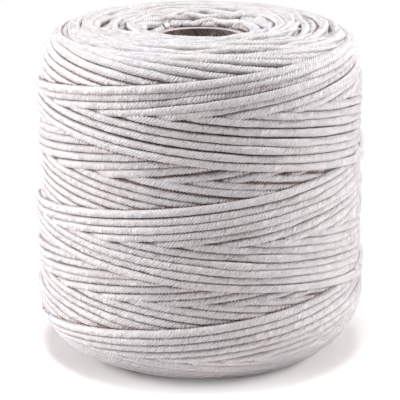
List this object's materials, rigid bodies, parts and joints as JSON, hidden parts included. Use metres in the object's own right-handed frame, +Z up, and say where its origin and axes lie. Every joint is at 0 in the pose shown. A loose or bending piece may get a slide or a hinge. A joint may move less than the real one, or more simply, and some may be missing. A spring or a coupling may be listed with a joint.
{
  "type": "twine spool",
  "caption": "Flangeless package of soft cotton twine cross-wound on an open paperboard tube, standing on its flat end, with rounded shoulders.",
  "frame": {"origin": "centre of the flat foot that the spool stands on, on the axis of the tube", "axes": "+Z up along the tube's axis; +X to the right and +Y away from the viewer in the picture; the wound twine has no front"},
  "size_m": [0.088, 0.088, 0.089],
  "materials": {
    "twine": "matte natural-white plied cotton with fine fuzz",
    "tube_inside": "rough brown-grey chipboard with diagonal ply seams",
    "tube_outside": "matte light grey paperboard"
  },
  "bodies": {
    "root": {"tube_liner_ply": "tube_inside", "tube_body_plies": "tube_inside", "tube_cover_ply": "tube_outside", "twine_inner_layers": "twine", "twine_outer_layer": "twine"}
  },
  "joints": []
}
